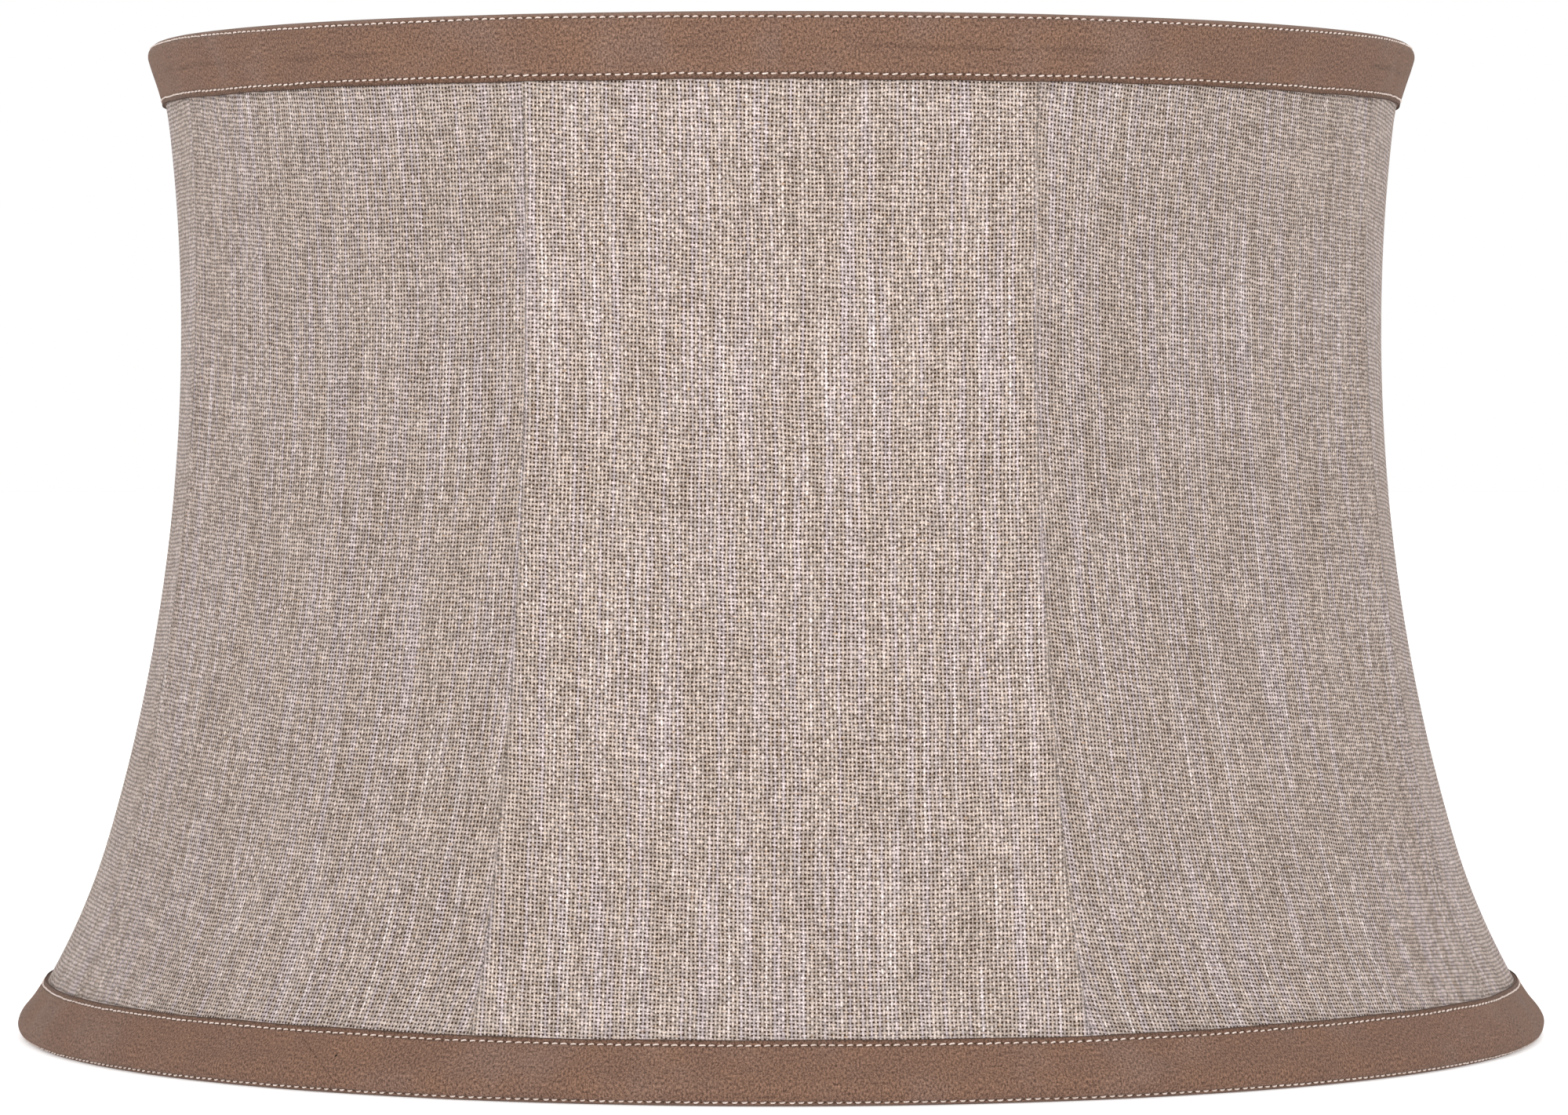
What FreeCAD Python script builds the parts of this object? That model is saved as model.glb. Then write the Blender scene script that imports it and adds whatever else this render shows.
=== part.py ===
import FreeCAD, Part
import math
import os

import Sketcher
from FreeCAD import Placement, Rotation, Vector

# A softback lamp shade with a bell-shaped waist.
#
# A wire frame of two round rings and curved ribs carries a linen cover on its
# outside and a balloon lining on its inside. Both are turned over the rings,
# and a suede ribbon with two rows of topstitching is folded over each ring to
# hide the raw edges. A three-armed spider with a washer hangs under the top
# ring. The shade stands on its bottom rim: the origin is at the middle of
# that rim, +Z is the axis of the shade, and the front is -Y.

SIZES = (
    # the shade's outside
    ("shade_height", 279.4),
    ("bottom_diameter", 431.8),
    ("top_diameter", 358.2),
    # the linen's outer face along the middle of a panel
    ("panel_waist_radius", 169.7),
    ("panel_waist_height", 198.0),
    ("panel_flare_radius", 190.5),
    # the linen's outer face along a rib
    ("rib_waist_radius", 173.9),
    ("rib_waist_height", 215.0),
    ("rib_flare_radius", 193.5),
    # where the side curve turns outwards to the rings
    ("bottom_flare_height", 56.0),
    ("top_flare_depth", 24.4),
    # the wire frame
    ("rib_count", 8),
    ("front_angle", -90.0),
    ("ring_wire", 3.0),
    ("rib_wire", 2.4),
    # the cloth
    ("binding_thickness", 0.25),
    ("cover_thickness", 0.6),
    ("lining_thickness", 0.6),
    ("trim_thickness", 0.9),
    ("layer_gap", 0.05),
    ("bottom_trim_height", 15.9),
    ("top_trim_height", 17.4),
    ("trim_turn_in", 11.0),
    # the topstitching
    ("thread", 0.45),
    ("edge_row_inset", 1.4),
    ("bottom_rim_row_angle", -45.0),
    ("top_rim_row_angle", 34.0),
    # the spider
    ("arm_count", 3),
    ("spider_angle", 90.0),
    ("arm_wire", 3.0),
    ("arm_bend", 5.0),
    ("arm_reach_in", 20.0),
    ("arm_hole_gap", 0.2),
    ("washer_drop", 12.7),
    ("washer_diameter", 28.6),
    ("washer_thickness", 2.0),
    ("washer_bore", 11.1),
    ("washer_chamfer", 0.3),
    ("arm_overlap", 5.5),
    ("neatener_length", 9.0),
)

# Directions round a ring wire, in degrees, and the gap under which two ends are one point.
STRAIGHT_UP = 90
STRAIGHT_DOWN = -90
SAME_POINT = 1e-6

doc = FreeCAD.newDocument("lamp_shade")
sheet = doc.addObject("Spreadsheet::Sheet", "sizes")
for row, (alias, number) in enumerate(SIZES, start=1):
    sheet.set(f"A{row}", alias)
    sheet.set(f"B{row}", str(number))
    sheet.setAlias(f"B{row}", alias)
doc.recompute()


def size(alias):
    """A number of the sheet, for geometry that is worked out here."""
    return float(sheet.get(alias))


# Everything round a ring is concentric with its wire: binding, then cover and
# lining side by side, then the trim. These are the radii of those layers.
BINDING_IN = "sizes.ring_wire / 2 + sizes.layer_gap"
BINDING_OUT = f"{BINDING_IN} + sizes.binding_thickness"
CLOTH_IN = f"{BINDING_OUT} + sizes.layer_gap"
COVER_OUT = f"{CLOTH_IN} + sizes.cover_thickness"
LINING_OUT = f"{CLOTH_IN} + sizes.lining_thickness"
TRIM_IN = f"{COVER_OUT} + sizes.layer_gap"
TRIM_OUT = f"{TRIM_IN} + sizes.trim_thickness"
BOTTOM_RING_RADIUS = f"sizes.bottom_diameter / 2 - ({TRIM_OUT})"
TOP_RING_RADIUS = f"sizes.top_diameter / 2 - ({TRIM_OUT})"
BOTTOM_RING_HEIGHT = TRIM_OUT
TOP_RING_HEIGHT = f"sizes.shade_height - ({TRIM_OUT})"


def value(expression):
    """What an expression on the sheet comes to."""
    result = sheet.evalExpression(expression)
    return float(getattr(result, "Value", result))


def origin_part(body, role):
    """One of a body's own origin planes or axes, found by its role."""
    return [item for item in body.Origin.OriginFeatures if item.Role == role][0]


def new_body(label, turn="sizes.spider_angle"):
    """A body with its own label, turned about the shade's axis."""
    body = doc.addObject("PartDesign::Body", label)
    body.Label = label
    body.Placement = Placement(Vector(0, 0, 0), Rotation(Vector(0, 0, 1), value(turn)))
    body.setExpression("Placement.Rotation.Angle", turn)
    return body


def new_sketch(body, plane, name, axis=Vector(0, 0, 1), turn="0", along="0"):
    """A sketch on one of its body's planes, turned about axis and moved along its normal."""
    sketch = body.newObject("Sketcher::SketchObject", name)
    sketch.AttachmentSupport = [(origin_part(body, plane), "")]
    sketch.MapMode = "FlatFace"
    offset = Vector(0, 0, value(along))
    sketch.AttachmentOffset = Placement(offset, Rotation(axis, value(turn)))
    if turn != "0":
        sketch.setExpression("AttachmentOffset.Rotation.Angle", turn)
    if along != "0":
        sketch.setExpression("AttachmentOffset.Base.z", along)
    return sketch


def radial_sketch(body, name, turn="0"):
    """A sketch in a plane through the shade's axis: x is radius, y is height."""
    return new_sketch(body, "XZ_Plane", name, axis=Vector(0, 1, 0), turn=turn)


def bind(sketch, rule, name, expression):
    """Add a dimension to a sketch and tie it to the sheet."""
    sketch.addConstraint(rule)
    sketch.renameConstraint(sketch.ConstraintCount - 1, name)
    sketch.setExpression(f"Constraints.{name}", expression)


def bind_round(sketch, geometry, name, radius=None, across=None, up=None):
    """Tie the radius and the centre of a circle or an arc to the sheet."""
    if radius:
        rule = Sketcher.Constraint("Radius", geometry, value(radius))
        bind(sketch, rule, f"{name}_radius", radius)
    if across:
        rule = Sketcher.Constraint("DistanceX", -1, 1, geometry, 3, value(across))
        bind(sketch, rule, f"{name}_across", across)
    if up:
        rule = Sketcher.Constraint("DistanceY", -1, 1, geometry, 3, value(up))
        bind(sketch, rule, f"{name}_up", up)


def add_circle(sketch, name, radius, across, up="0"):
    """A circle whose radius and centre are tied to the sheet."""
    centre = Vector(value(across), value(up), 0)
    circle = Part.Circle(centre, Vector(0, 0, 1), value(radius))
    geometry = sketch.addGeometry(circle, False)
    bind_round(sketch, geometry, name, radius, across, up)


def turned(point, centre, angle):
    """A point carried round a centre by an angle in radians."""
    arm = point - centre
    return centre + Vector(
        arm.x * math.cos(angle) - arm.y * math.sin(angle),
        arm.x * math.sin(angle) + arm.y * math.cos(angle),
        0,
    )


def sweep_between(start, end, centre):
    """The signed angle, under half a turn, from one point to another round a centre."""
    a = start - centre
    b = end - centre
    return math.atan2(a.x * b.y - a.y * b.x, a.x * b.x + a.y * b.y)


def arc(centre, start, sweep):
    """An edge round a centre, as its first, middle and last points."""
    return (start, turned(start, centre, sweep / 2), turned(start, centre, sweep))


def arc_to(centre, start, end):
    return arc(centre, start, sweep_between(start, end, centre))


def draw(sketch, edges):
    """Add arcs (three points) and lines (two points), joined where their ends meet."""
    ends = []
    for edge in edges:
        if len(edge) == 3:
            index = sketch.addGeometry(Part.Arc(*edge), False)
        else:
            index = sketch.addGeometry(Part.LineSegment(*edge), False)
        ends += [(index, 1, sketch.getPoint(index, 1)), (index, 2, sketch.getPoint(index, 2))]
    for place, (one, one_end, point) in enumerate(ends):
        for other, other_end, other_point in ends[place + 1:]:
            if one != other and point.distanceToPoint(other_point) < SAME_POINT:
                sketch.addConstraint(Sketcher.Constraint("Coincident", one, one_end, other, other_end))


class SideCurve:
    """The linen's outer face in a plane through the axis, from ring to ring.

    A long arc forms the waist. At each end it runs smoothly into a flare arc,
    which runs smoothly onto the roll of cloth round the ring. Layers deeper
    in the shade are parallel to it: every arc keeps its centre.
    """

    def __init__(self, line):
        self.roll = value(COVER_OUT)
        self.bottom_ring = Vector(value(BOTTOM_RING_RADIUS), value(BOTTOM_RING_HEIGHT), 0)
        self.top_ring = Vector(value(TOP_RING_RADIUS), value(TOP_RING_HEIGHT), 0)
        waist = Vector(size(f"{line}_waist_radius"), size(f"{line}_waist_height"), 0)
        low = Vector(size(f"{line}_flare_radius"), size("bottom_flare_height"), 0)
        out = low.x - waist.x
        down = low.y - waist.y
        self.main_radius = (out * out + down * down) / (2 * out)
        self.main = waist + Vector(self.main_radius, 0, 0)
        self.low = low
        self.high = self.on_main(size("shade_height") - size("top_flare_depth"))
        self.low_flare, self.low_radius = self.flare(self.low, self.bottom_ring)
        self.high_flare, self.high_radius = self.flare(self.high, self.top_ring)

    def on_main(self, height):
        up = height - self.main.y
        return Vector(self.main.x - math.sqrt(self.main_radius**2 - up**2), height, 0)

    def flare(self, joint, ring):
        """Centre and radius of the arc tangent to the waist arc and to the roll."""
        normal = (self.main - joint) * (1 / self.main_radius)
        reach = ring - joint
        radius = (reach.dot(reach) - self.roll**2) / (2 * (self.roll + normal.dot(reach)))
        return joint + normal * radius, radius

    def joint(self, point, depth):
        """A joint of two arcs, carried inwards by depth."""
        return point - (self.main - point) * (depth / self.main_radius)

    def touch(self, ring, flare, flare_radius, depth):
        """Where the side meets the roll round a ring, carried inwards by depth."""
        normal = (flare - ring) * (1 / (flare_radius + self.roll))
        return ring + normal * (self.roll - depth)

    def bottom_touch(self, depth):
        return self.touch(self.bottom_ring, self.low_flare, self.low_radius, depth)

    def top_touch(self, depth):
        return self.touch(self.top_ring, self.high_flare, self.high_radius, depth)

    def at_height(self, centre, radius, height, depth):
        """A point of a flare arc at a height on the linen, carried inwards by depth."""
        side = math.copysign(1, radius)
        up = height - centre.y
        point = Vector(centre.x - side * math.sqrt(radius**2 - up**2), height, 0)
        return point - (centre - point) * (depth / radius)

    def side(self, depth):
        """The three arcs from the bottom roll up to the top roll."""
        low = self.joint(self.low, depth)
        high = self.joint(self.high, depth)
        return [
            arc_to(self.low_flare, self.bottom_touch(depth), low),
            arc_to(self.main, low, high),
            arc_to(self.high_flare, high, self.top_touch(depth)),
        ]


def edge_to_edge(first, second):
    """Close two runs of edges that start at the same end of a piece."""
    return first + second + [(first[0][0], second[0][0]), (first[-1][-1], second[-1][-1])]


def round_ring(start, ring, angle):
    """The arc from a point of a roll to a direction in degrees, the short way."""
    radius = (start - ring).Length
    heading = math.radians(angle)
    end = ring + Vector(math.cos(heading), math.sin(heading), 0) * radius
    return arc_to(ring, start, end)


def wrapped_side(curve, depth):
    """A layer's face: under the bottom ring, up the side and over the top ring."""
    side = curve.side(depth)
    under = round_ring(side[0][0], curve.bottom_ring, STRAIGHT_DOWN)
    over = round_ring(side[-1][-1], curve.top_ring, STRAIGHT_UP)
    return [under[::-1]] + side + [over]


def cover_outline(curve):
    return edge_to_edge(wrapped_side(curve, 0), wrapped_side(curve, size("cover_thickness")))


def lining_outline(curve):
    outer = curve.roll + value(CLOTH_IN)
    inner = curve.roll + value(LINING_OUT)
    return edge_to_edge(wrapped_side(curve, outer), wrapped_side(curve, inner))


def folded_face(curve, ring, centre, radius, edge_height, turned_height, roll):
    """One face of a trim: down the outside, round the ring and up the inside."""
    outside = curve.at_height(centre, radius, edge_height, curve.roll - roll)
    inside = curve.at_height(centre, radius, turned_height, curve.roll + roll)
    out_touch = curve.touch(ring, centre, radius, curve.roll - roll)
    in_touch = curve.touch(ring, centre, radius, curve.roll + roll)
    half_turn = math.copysign(math.pi, ring.y - edge_height)
    return [
        arc_to(centre, outside, out_touch),
        arc(ring, out_touch, half_turn),
        arc_to(centre, in_touch, inside),
    ]


def bottom_trim_outline(curve):
    place = (curve, curve.bottom_ring, curve.low_flare, curve.low_radius)
    heights = (size("bottom_trim_height"), size("trim_turn_in"))
    return edge_to_edge(
        folded_face(*place, *heights, value(TRIM_OUT)),
        folded_face(*place, *heights, value(TRIM_IN)),
    )


def top_trim_outline(curve):
    place = (curve, curve.top_ring, curve.high_flare, curve.high_radius)
    heights = (
        size("shade_height") - size("top_trim_height"),
        size("shade_height") - size("trim_turn_in"),
    )
    return edge_to_edge(
        folded_face(*place, *heights, value(TRIM_OUT)),
        folded_face(*place, *heights, value(TRIM_IN)),
    )


def stitch_outline(curve, centre, radius, height):
    """The section of a row of stitches that lies on a trim's outer face."""
    half = size("thread") / 2
    near = curve.roll - value(TRIM_OUT) - size("layer_gap")
    far = near - size("thread")
    faces = []
    for depth in (near, far):
        below = curve.at_height(centre, radius, height - half, depth)
        above = curve.at_height(centre, radius, height + half, depth)
        faces.append([arc_to(centre, below, above)])
    return edge_to_edge(*faces)


def bottom_row_outline(curve):
    height = size("bottom_trim_height") - size("edge_row_inset")
    return stitch_outline(curve, curve.low_flare, curve.low_radius, height)


def top_row_outline(curve):
    height = size("shade_height") - size("top_trim_height") + size("edge_row_inset")
    return stitch_outline(curve, curve.high_flare, curve.high_radius, height)


HALF_PANEL = "180 / sizes.rib_count"
PANEL = SideCurve("panel")
RIB = SideCurve("rib")


def add_pattern(body, feature, name, count):
    """Repeat a feature round the shade's axis, and make the pattern the body's result."""
    pattern = body.newObject("PartDesign::PolarPattern", name)
    pattern.Originals = [feature]
    pattern.Axis = (origin_part(body, "Z_Axis"), [""])
    pattern.Angle = 360
    pattern.Occurrences = int(value(count))
    pattern.setExpression("Occurrences", count)
    body.Tip = pattern


def panelled_shell(label, outline):
    """A layer of cloth: one panel lofted from rib to rib, then repeated round the shade."""
    body = new_body(label)
    sections = []
    stations = (("near_rib", f"-{HALF_PANEL}", RIB), ("panel", "0", PANEL), ("far_rib", HALF_PANEL, RIB))
    for name, turn, curve in stations:
        sketch = radial_sketch(body, f"{label}_{name}", turn)
        draw(sketch, outline(curve))
        sections.append(sketch)
    loft = body.newObject("PartDesign::AdditiveLoft", f"{label}_loft")
    loft.Profile = sections[0]
    loft.Sections = sections[1:]
    doc.recompute()
    add_pattern(body, loft, f"{label}_panels", "sizes.rib_count")
    return body


def revolve(body, sketch, name, angle="360", cut=False):
    """Turn a sketch round the shade's axis, to add a ring or to cut one away."""
    kind = "PartDesign::Groove" if cut else "PartDesign::Revolution"
    feature = body.newObject(kind, name)
    feature.Profile = sketch
    feature.ReferenceAxis = (sketch, ["V_Axis"])
    feature.Angle = value(angle)
    if angle != "360":
        feature.setExpression("Angle", angle)
    return feature


def cut_arm_holes(body):
    """Holes where the spider's arms pass through a layer on their way to the top ring."""
    label = body.Label
    doc.recompute()
    before = body.Shape.Volume
    sketch = new_sketch(body, "YZ_Plane", f"{label}_arm_hole")
    add_circle(sketch, "hole", "sizes.arm_wire / 2 + sizes.arm_hole_gap", "0", TOP_RING_HEIGHT)
    hole = body.newObject("PartDesign::Pocket", f"{label}_arm_pocket")
    hole.Profile = sketch
    hole.Reversed = True
    hole.Length = value(TOP_RING_RADIUS)
    hole.setExpression("Length", TOP_RING_RADIUS)
    doc.recompute()
    add_pattern(body, hole, f"{label}_arm_holes", "sizes.arm_count")
    doc.recompute()
    if body.Shape.Volume >= before:
        raise RuntimeError(f"the arm holes cut nothing out of {label}")


# Linen cover: one layer of linen, drawn over the ribs and turned over both rings.
linen_cover = panelled_shell("linen_cover", cover_outline)

# Lining: a balloon lining that hangs clear of the ribs, turned over both rings.
lining = panelled_shell("lining", lining_outline)
cut_arm_holes(lining)

# Trims: suede ribbon, folded over each ring from the outside to the inside.
bottom_trim = panelled_shell("bottom_trim", bottom_trim_outline)
top_trim = panelled_shell("top_trim", top_trim_outline)
cut_arm_holes(top_trim)

# Topstitching: one row near the free edge of each trim, and one on each rim's roll.
bottom_upper_stitching = panelled_shell("bottom_upper_stitching", bottom_row_outline)
top_lower_stitching = panelled_shell("top_lower_stitching", top_row_outline)


def rim_stitching(label, ring_radius, ring_height, angle):
    """A row of stitches on the roll of a trim, at an angle round the ring wire."""
    body = new_body(label)
    sketch = radial_sketch(body, f"{label}_section")
    reach = f"({TRIM_OUT} + sizes.layer_gap + sizes.thread / 2)"
    across = f"{ring_radius} + {reach} * cos({angle} * 1 deg)"
    up = f"{ring_height} + {reach} * sin({angle} * 1 deg)"
    add_circle(sketch, "thread", "sizes.thread / 2", across, up)
    revolve(body, sketch, f"{label}_row")


rim_stitching(
    "bottom_rim_stitching", BOTTOM_RING_RADIUS, BOTTOM_RING_HEIGHT, "sizes.bottom_rim_row_angle"
)
rim_stitching("top_rim_stitching", TOP_RING_RADIUS, TOP_RING_HEIGHT, "sizes.top_rim_row_angle")


def ring(label, ring_radius, ring_height):
    """A round ring of wire."""
    body = new_body(label)
    sketch = radial_sketch(body, f"{label}_section")
    add_circle(sketch, "wire", "sizes.ring_wire / 2", ring_radius, ring_height)
    revolve(body, sketch, f"{label}_wire")


def ring_binding(label, ring_radius, ring_height):
    """Cotton tape wound round a ring, in one length between each pair of ribs."""
    body = new_body(label)
    notch = f"asin((sizes.rib_wire / 2 + sizes.arm_hole_gap) / ({ring_radius}))"
    sketch = radial_sketch(body, f"{label}_section", f"-{HALF_PANEL} + {notch} / 1 deg")
    add_circle(sketch, "inside", BINDING_IN, ring_radius, ring_height)
    add_circle(sketch, "outside", BINDING_OUT, ring_radius, ring_height)
    length = revolve(body, sketch, f"{label}_length", f"360 / sizes.rib_count - 2 * {notch} / 1 deg")
    doc.recompute()
    add_pattern(body, length, f"{label}_lengths", "sizes.rib_count")
    return body


# Wire frame: the two rings, each wound with cotton tape for the cloth to be sewn to.
ring("bottom_ring", BOTTOM_RING_RADIUS, BOTTOM_RING_HEIGHT)
ring("top_ring", TOP_RING_RADIUS, TOP_RING_HEIGHT)
ring_binding("bottom_ring_binding", BOTTOM_RING_RADIUS, BOTTOM_RING_HEIGHT)
top_ring_binding = ring_binding("top_ring_binding", TOP_RING_RADIUS, TOP_RING_HEIGHT)
cut_arm_holes(top_ring_binding)


def wire_along(body, path, start, lean, wire, name):
    """Sweep a round wire along a path that starts at a point and leans off the vertical."""
    section = body.newObject("Sketcher::SketchObject", f"{name}_section")
    section.AttachmentSupport = [(origin_part(body, "XY_Plane"), "")]
    section.MapMode = "FlatFace"
    place = Vector(start.x, 0, start.y)
    section.AttachmentOffset = Placement(place, Rotation(Vector(0, 1, 0), lean))
    circle = section.addGeometry(Part.Circle(Vector(0, 0, 0), Vector(0, 0, 1), value(wire)), False)
    section.addConstraint(Sketcher.Constraint("Coincident", circle, 3, -1, 1))
    bind_round(section, circle, "wire", radius=wire)
    pipe = body.newObject("PartDesign::AdditivePipe", name)
    pipe.Profile = section
    pipe.Spine = (path, [f"Edge{number + 1}" for number in range(path.GeometryCount)])
    return pipe


def cope(body, name, rings):
    """Shape a wire's ends to the ring wires that they are welded to."""
    sketch = radial_sketch(body, name)
    for place, (ring_radius, ring_height) in enumerate(rings):
        add_circle(sketch, f"ring_{place}", "sizes.ring_wire / 2", ring_radius, ring_height)
    doc.recompute()
    before = body.Shape.Volume
    revolve(body, sketch, f"{name}_cut", cut=True)
    doc.recompute()
    if body.Shape.Volume >= before:
        raise RuntimeError(f"the ends of {body.Label} are not coped")


# Ribs: curved wires between the rings, just inside the linen.
for number in range(1, int(size("rib_count")) + 1):
    label = f"rib_{number}"
    rib = new_body(label, f"sizes.front_angle + ({number} - 0.5) * 360 / sizes.rib_count")
    path = radial_sketch(rib, f"{label}_path")
    rib_edges = RIB.side(size("cover_thickness") + size("layer_gap") + size("rib_wire") / 2)
    draw(path, rib_edges)
    foot = rib_edges[0][0]
    normal = RIB.low_flare - foot
    lean = -math.degrees(math.atan2(normal.y, normal.x))
    wire_along(rib, path, foot, lean, "sizes.rib_wire / 2", f"{label}_wire")
    cope(
        rib,
        f"{label}_ends",
        ((BOTTOM_RING_RADIUS, BOTTOM_RING_HEIGHT), (TOP_RING_RADIUS, TOP_RING_HEIGHT)),
    )

# Spider: three bent wires from the top ring down and in to the fitter washer.
WASHER_BOTTOM = "sizes.shade_height - sizes.washer_drop - sizes.washer_thickness"
washer_edge = size("washer_diameter") / 2
arm_height = value(f"{WASHER_BOTTOM} - sizes.arm_wire / 2")
arm_outer_end = Vector(value(f"{TOP_RING_RADIUS} - sizes.ring_wire / 4"), value(TOP_RING_HEIGHT), 0)
arm_corner = value(f"{TOP_RING_RADIUS} - sizes.arm_reach_in")
bend = size("arm_bend")
arm_edges = [
    (arm_outer_end, Vector(arm_corner + bend, arm_outer_end.y, 0)),
    arc(
        Vector(arm_corner + bend, arm_outer_end.y - bend, 0),
        Vector(arm_corner + bend, arm_outer_end.y, 0),
        math.pi / 2,
    ),
    (Vector(arm_corner, arm_outer_end.y - bend, 0), Vector(arm_corner, arm_height + bend, 0)),
    arc(
        Vector(arm_corner - bend, arm_height + bend, 0),
        Vector(arm_corner, arm_height + bend, 0),
        -math.pi / 2,
    ),
    (
        Vector(arm_corner - bend, arm_height, 0),
        Vector(washer_edge - size("arm_overlap"), arm_height, 0),
    ),
]
for number in range(1, int(size("arm_count")) + 1):
    turn = f"sizes.spider_angle + ({number} - 1) * 360 / sizes.arm_count"
    label = f"spider_arm_{number}"
    arm = new_body(label, turn)
    path = radial_sketch(arm, f"{label}_path")
    draw(path, arm_edges)
    wire_along(arm, path, arm_outer_end, STRAIGHT_UP, "sizes.arm_wire / 2", f"{label}_wire")
    cope(arm, f"{label}_end", ((TOP_RING_RADIUS, TOP_RING_HEIGHT),))

    label = f"arm_neatener_{number}"
    neatener = new_body(label, turn)
    tube_start = f"{TOP_RING_RADIUS} - ({TRIM_OUT}) - sizes.layer_gap - sizes.neatener_length"
    tube = new_sketch(neatener, "YZ_Plane", f"{label}_section", along=tube_start)
    inside = "sizes.arm_wire / 2 + sizes.layer_gap"
    add_circle(tube, "inside", inside, "0", TOP_RING_HEIGHT)
    add_circle(tube, "outside", f"{inside} + sizes.lining_thickness", "0", TOP_RING_HEIGHT)
    sleeve = neatener.newObject("PartDesign::Pad", f"{label}_sleeve")
    sleeve.Profile = tube
    sleeve.Length = size("neatener_length")
    sleeve.setExpression("Length", "sizes.neatener_length")

# Fitter washer: it sits on the inner ends of the arms, and drops over the lamp's harp.
washer = new_body("fitter_washer")
disc = new_sketch(washer, "XY_Plane", "fitter_washer_section", along=WASHER_BOTTOM)
add_circle(disc, "bore", "sizes.washer_bore / 2", "0")
add_circle(disc, "rim", "sizes.washer_diameter / 2", "0")
plate = washer.newObject("PartDesign::Pad", "fitter_washer_plate")
plate.Profile = disc
plate.Length = size("washer_thickness")
plate.setExpression("Length", "sizes.washer_thickness")
doc.recompute()
bore_edge = size("washer_bore") / 2 + size("washer_chamfer")
rim_edges = [
    f"Edge{place}"
    for place, edge in enumerate(plate.Shape.Edges, start=1)
    if isinstance(edge.Curve, Part.Circle) and edge.Curve.Radius > bore_edge
]
eased_rim = washer.newObject("PartDesign::Chamfer", "fitter_washer_rim")
eased_rim.Base = (plate, rim_edges)
eased_rim.Size = size("washer_chamfer")
eased_rim.setExpression("Size", "sizes.washer_chamfer")

doc.recompute()
for item in doc.Objects:
    if "Invalid" in item.State or "Error" in item.State:
        raise RuntimeError(f"{item.Name} failed: {item.State}")

os.makedirs("parts", exist_ok=True)
for item in doc.Objects:
    if item.TypeId != "PartDesign::Body":
        continue
    shape = item.Shape
    if shape.isNull() or not shape.isValid() or not shape.Solids:
        raise RuntimeError(f"{item.Label} has no valid solid")
    shape.exportStep(f"parts/{item.Label}.step")
    box = shape.optimalBoundingBox(True, False)
    print(
        f"{item.Label:24s} solids {len(shape.Solids):2d} faces {len(shape.Faces):3d}"
        f" volume {shape.Volume:9.1f} z {box.ZMin:7.2f} {box.ZMax:7.2f} x {box.XMin:8.2f} {box.XMax:8.2f}"
    )
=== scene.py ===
import math

import bpy
import numpy as np
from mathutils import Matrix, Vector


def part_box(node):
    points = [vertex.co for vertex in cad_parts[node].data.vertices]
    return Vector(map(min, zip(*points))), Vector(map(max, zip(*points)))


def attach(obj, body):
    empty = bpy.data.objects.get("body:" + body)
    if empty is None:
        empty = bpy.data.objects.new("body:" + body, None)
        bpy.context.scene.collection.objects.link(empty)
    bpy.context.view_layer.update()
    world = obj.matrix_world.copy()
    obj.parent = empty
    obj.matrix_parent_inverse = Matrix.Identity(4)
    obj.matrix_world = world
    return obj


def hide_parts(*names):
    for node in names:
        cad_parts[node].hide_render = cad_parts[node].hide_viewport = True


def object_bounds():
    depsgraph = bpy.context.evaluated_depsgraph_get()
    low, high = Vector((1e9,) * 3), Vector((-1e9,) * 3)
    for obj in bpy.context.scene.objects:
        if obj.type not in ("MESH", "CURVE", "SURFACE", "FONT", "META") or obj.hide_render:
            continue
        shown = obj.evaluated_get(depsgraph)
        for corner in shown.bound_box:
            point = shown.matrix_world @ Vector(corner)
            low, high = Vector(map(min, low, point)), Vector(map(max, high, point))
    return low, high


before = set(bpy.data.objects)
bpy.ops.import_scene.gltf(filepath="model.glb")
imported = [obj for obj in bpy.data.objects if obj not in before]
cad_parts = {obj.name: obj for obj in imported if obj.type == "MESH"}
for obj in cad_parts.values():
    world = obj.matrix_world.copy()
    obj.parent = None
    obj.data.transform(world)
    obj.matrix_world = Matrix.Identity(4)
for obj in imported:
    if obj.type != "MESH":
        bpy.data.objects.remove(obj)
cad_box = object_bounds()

MM = 0.001

# --- Studio ---------------------------------------------------------------------------------
# The shade stands on a pale floor that runs back into an equally pale surround. Soft light
# comes from all round, with one large, weak source above the camera and one over the top.

EYE_DISTANCE = 1917.6 * MM
EYE_HEIGHT = 177.1 * MM
EYE_SIDE = 0.8 * MM
EYE_PITCH = math.radians(90 - 1.275)

camera = bpy.data.objects.new("camera", bpy.data.cameras.new("camera"))
bpy.context.collection.objects.link(camera)
camera.location = (EYE_SIDE, -EYE_DISTANCE, EYE_HEIGHT)
camera.rotation_euler = (EYE_PITCH, 0, 0)
camera.data.sensor_width = 36
camera.data.lens = 154.7
camera.data.clip_start = 0.05
camera.data.clip_end = 60
bpy.context.scene.camera = camera
bpy.context.scene.view_settings.view_transform = "Standard"


def soft_box(name, place, aim, width, energy):
    """A square area light that faces a point."""
    light = bpy.data.lights.new(name, "AREA")
    light.size = width
    light.energy = energy
    lamp = bpy.data.objects.new(name, light)
    bpy.context.collection.objects.link(lamp)
    lamp.location = place
    away = np.subtract(place, aim)
    lamp.rotation_euler = (
        math.atan2(math.hypot(away[0], away[1]), away[2]),
        0,
        math.atan2(away[1], away[0]) + math.pi / 2,
    )


soft_box("front_light", (-0.15, -2.7, 0.9), (0, 0, 0.14), 1.1, 34)
soft_box("top_light", (0.3, 0.2, 2.4), (0, 0, 0.1), 1.6, 10)

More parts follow.
